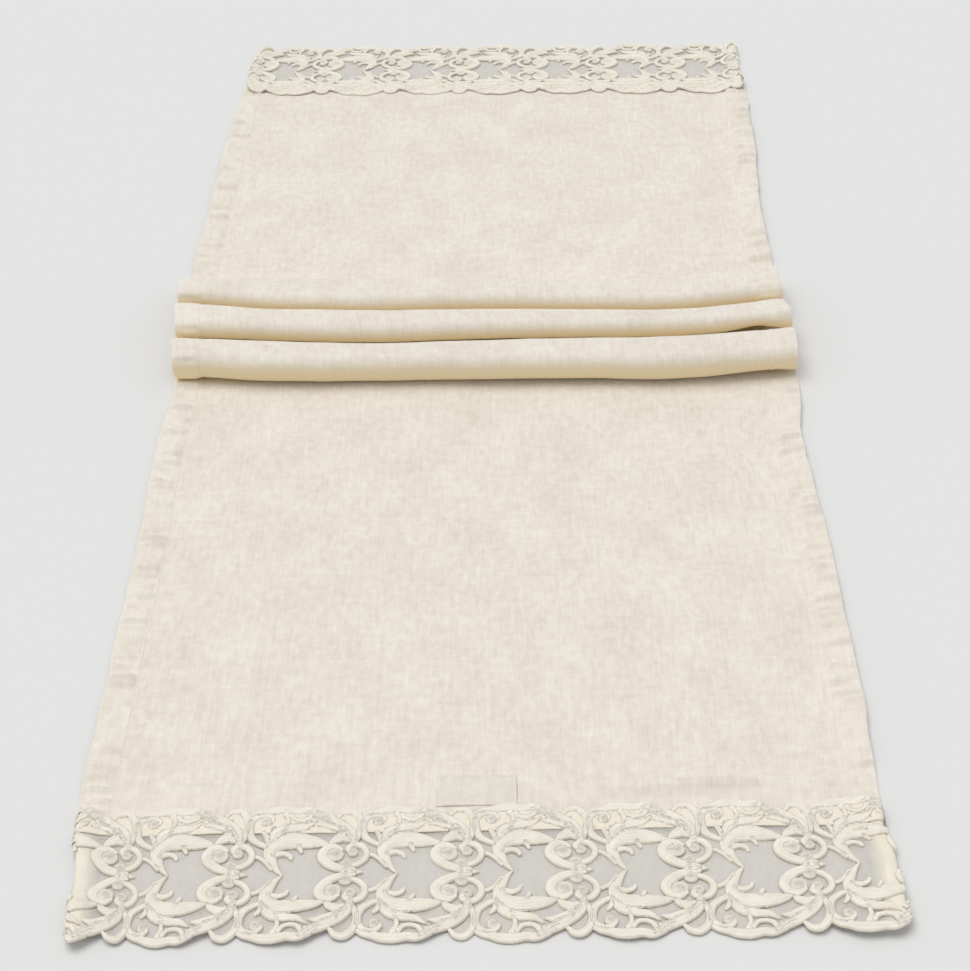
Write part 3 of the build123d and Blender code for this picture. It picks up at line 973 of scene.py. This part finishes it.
def linen_material(name, light, dark):
    """Slubby plain weave: short streaks both ways, soft blotches, and painted shade, warmer where it faces
    down.
    """
    nodes = Nodes(name)
    woven = weave(nodes, 0.62 * MM)
    warp = nodes.noise(nodes.uv(820.0, 75.0), 2.0)
    weft = nodes.noise(nodes.uv(85.0, 760.0), 2.0)
    thick_warp = nodes.noise(nodes.uv(360.0, 34.0), 2.0)
    thick_weft = nodes.noise(nodes.uv(38.0, 330.0), 2.0)
    blotch = nodes.noise(nodes.uv(170.0, 130.0), 3.0)
    cloud = nodes.noise(nodes.uv(26.0, 20.0), 3.0)
    fine = nodes.math("ADD", warp, nodes.math("MULTIPLY", weft, 0.5))
    slub = nodes.math("ADD", thick_warp, nodes.math("MULTIPLY", thick_weft, 0.5))
    tone = nodes.math("ADD", nodes.math("MULTIPLY", fine, 0.30), nodes.math("MULTIPLY", slub, 0.40))
    tone = nodes.math("ADD", tone, nodes.math("MULTIPLY", blotch, 0.60))
    tone = nodes.math("ADD", tone, nodes.math("MULTIPLY", cloud, 0.50))
    cloth = nodes.mix(nodes.ramp(tone, 0.83, 1.32), dark, light)
    # Painted shade: a warmer, yellower colour on faces turned down and deep in the pleats, standing in for
    # bounced light and shade.
    under = nodes.add("ShaderNodeAttribute", attribute_name="under").outputs["Fac"]
    painted_warm_shade = nodes.mix(nodes.math("MULTIPLY", under, 0.95), cloth, srgb(244, 224, 182))
    height = nodes.math("ADD", nodes.math("MULTIPLY", woven, 0.2), nodes.math("MULTIPLY", fine, 0.7))
    height = nodes.math("ADD", height, nodes.math("ADD", slub, blotch))
    nodes.bump(height, 0.30 * MM)
    nodes.surface({"Base Color": painted_warm_shade, "Roughness": 0.88, "Sheen Weight": 0.12, "Sheen Roughness": 0.6})
    return nodes.material


def lace_material():
    nodes = Nodes("Lace_Cord")
    along = nodes.add("ShaderNodeAttribute", attribute_name="along").outputs["Fac"]
    rib = nodes.add("ShaderNodeAttribute", attribute_name="rib").outputs["Fac"]
    satin = nodes.math("SINE", nodes.math("MULTIPLY", along, 2 * math.pi / 0.55))
    grain = nodes.noise(nodes.uv(1500.0, 1500.0), 3.0)
    cloud = nodes.noise(nodes.uv(90.0, 90.0), 3.0)
    tone = nodes.math("ADD", nodes.math("MULTIPLY", cloud, 0.7), nodes.math("MULTIPLY", grain, 0.4))
    pale = nodes.mix(nodes.ramp(tone, 0.38, 0.75), srgb(236, 229, 214), srgb(249, 244, 232))
    # Painted shade: the cord colour is darker where the relief is lower, between the ribs, on the ground
    # fill and at the cords' feet.
    low_relief_painted_shade = nodes.ramp(rib, 0.25, 0.85)
    colour = nodes.mix(low_relief_painted_shade, srgb(226, 216, 196), pale)
    height = nodes.math("ADD", nodes.math("MULTIPLY", satin, 0.35), grain)
    nodes.bump(height, 0.16 * MM)
    nodes.surface({"Base Color": colour, "Roughness": 0.72, "Sheen Weight": 0.15})
    return nodes.material


def organza_material():
    nodes = Nodes("Organza_Sheer")
    woven = weave(nodes, 0.34 * MM)
    crease = nodes.noise(nodes.uv(120.0, 60.0), 4.0)
    out = nodes.math("ABSOLUTE", nodes.add("ShaderNodeSeparateXYZ", {0: nodes.uv(1.0, 1.0)}).outputs[0])
    doubled = nodes.ramp(out, BORDER_W / 2 - 16 * MM, BORDER_W / 2 - 7 * MM)
    # Painted highlight: the colour is lighter where the crease noise rises, the same noise that bumps the
    # surface.
    sheer_crease_highlight = nodes.mix(crease, srgb(229, 225, 217), srgb(243, 239, 232))
    colour = nodes.mix(doubled, sheer_crease_highlight, srgb(244, 237, 221))
    sheer = nodes.ramp(crease, -0.55, 2.0)
    layers = nodes.math("ADD", sheer, nodes.math("MULTIPLY", doubled, 0.5))
    alpha = nodes.math("MINIMUM", layers, 0.97)
    nodes.bump(nodes.math("ADD", nodes.math("MULTIPLY", woven, 0.2), crease), 0.25 * MM)
    nodes.surface({"Base Color": colour, "Alpha": alpha, "Roughness": 0.5, "Sheen Weight": 0.2})
    return nodes.material


def thread_material():
    nodes = Nodes("Sewing_Thread")
    grain = nodes.noise(nodes.add("ShaderNodeTexCoord").outputs["Object"], 2.0)
    colour = nodes.mix(grain, srgb(236, 229, 215), srgb(248, 243, 233))
    nodes.surface({"Base Color": colour, "Roughness": 0.6})
    return nodes.material


def floor_material():
    nodes = Nodes("Pale_Floor")
    nodes.surface({"Base Color": srgb(222, 222, 222), "Roughness": 0.95, "Specular IOR Level": 0.1})
    return nodes.material


def finish_with(piece, material):
    piece.data.materials.clear()
    piece.data.materials.append(material)


# ---------------------------------------------------------------- stage, light and camera
def stage():
    bpy.ops.mesh.primitive_plane_add(size=12.0, location=(0, 0, -0.4 * MM))
    floor = bpy.context.object
    floor.name = "Floor"
    finish_with(floor, floor_material())


def lights():
    """A very broad soft light from above and behind, over an even white surround."""
    world = bpy.data.worlds.new("Studio")
    world.use_nodes = True
    world.node_tree.nodes["Background"].inputs[0].default_value = (0.985, 0.99, 1.0, 1)
    world.node_tree.nodes["Background"].inputs[1].default_value = 0.60
    bpy.context.scene.world = world
    lamp = bpy.data.lights.new("Soft_Key", "SUN")
    lamp.energy = 1.55
    lamp.angle = math.radians(48)
    lamp.color = (1.0, 0.99, 0.97)
    holder = bpy.data.objects.new("Soft_Key", lamp)
    holder.rotation_euler = Vector((0.22, -0.16, -1.0)).to_track_quat("-Z", "Y").to_euler()
    bpy.context.scene.collection.objects.link(holder)


def camera():
    """Standing at the near end, a little right of the middle, looking down its length."""
    pitch = math.radians(38.78)
    heading = math.radians(-1.03)
    roll = math.radians(-1.72)
    level = math.cos(pitch)
    ahead = Vector((math.sin(heading) * level, math.cos(heading) * level, -math.sin(pitch)))
    right = Vector((math.cos(heading), -math.sin(heading), 0))
    up = right.cross(ahead)
    tilt_right = right * math.cos(roll) + up * math.sin(roll)
    tilt_up = up * math.cos(roll) - right * math.sin(roll)
    place = HOME + Vector((0.0234, -0.7251, 0.922))
    lens = bpy.data.cameras.new("Camera")
    lens.sensor_fit = "VERTICAL"
    lens.sensor_height = 36.0
    lens.lens = 73.45
    holder = bpy.data.objects.new("Camera", lens)
    axes = Matrix((tilt_right, tilt_up, -ahead)).transposed().to_4x4()
    holder.matrix_world = Matrix.Translation(place) @ axes
    bpy.context.scene.collection.objects.link(holder)
    bpy.context.scene.camera = holder


# ---------------------------------------------------------------- assembly
def build():
    camera()
    lights()
    stage()
    linen = linen_material("Linen", srgb(238, 231, 220), srgb(217, 208, 194))
    hem_linen = linen_material("Linen_Hem", srgb(239, 232, 221), srgb(220, 212, 198))
    thread = thread_material()
    lace = lace_material()
    sheer = organza_material()
    panel, length = linen_panel()
    finish_with(panel, linen)
    attached = []
    for side in ("left", "right"):
        hem = side_hem(side)
        finish_with(hem, hem_linen)
        seam = hem_thread(side)
        finish_with(seam, thread)
        attached += [hem, seam]
    for end in ("near", "far"):
        border, x, reach = lace_border(end)
        finish_with(border, lace)
        finish_with(organza(end, x, reach), sheer)
        strip = end_hem(end)
        finish_with(strip, linen)
        seam = lace_seam(end)
        finish_with(seam, thread)
        attached += [strip, seam]
    tag = label()
    finish_with(tag, linen_material("Label_Cloth", srgb(234, 228, 216), srgb(216, 209, 195)))
    finish_with(bpy.data.objects["Label_Stitches"], thread)


bpy.context.scene.view_settings.view_transform = "Standard"
build()
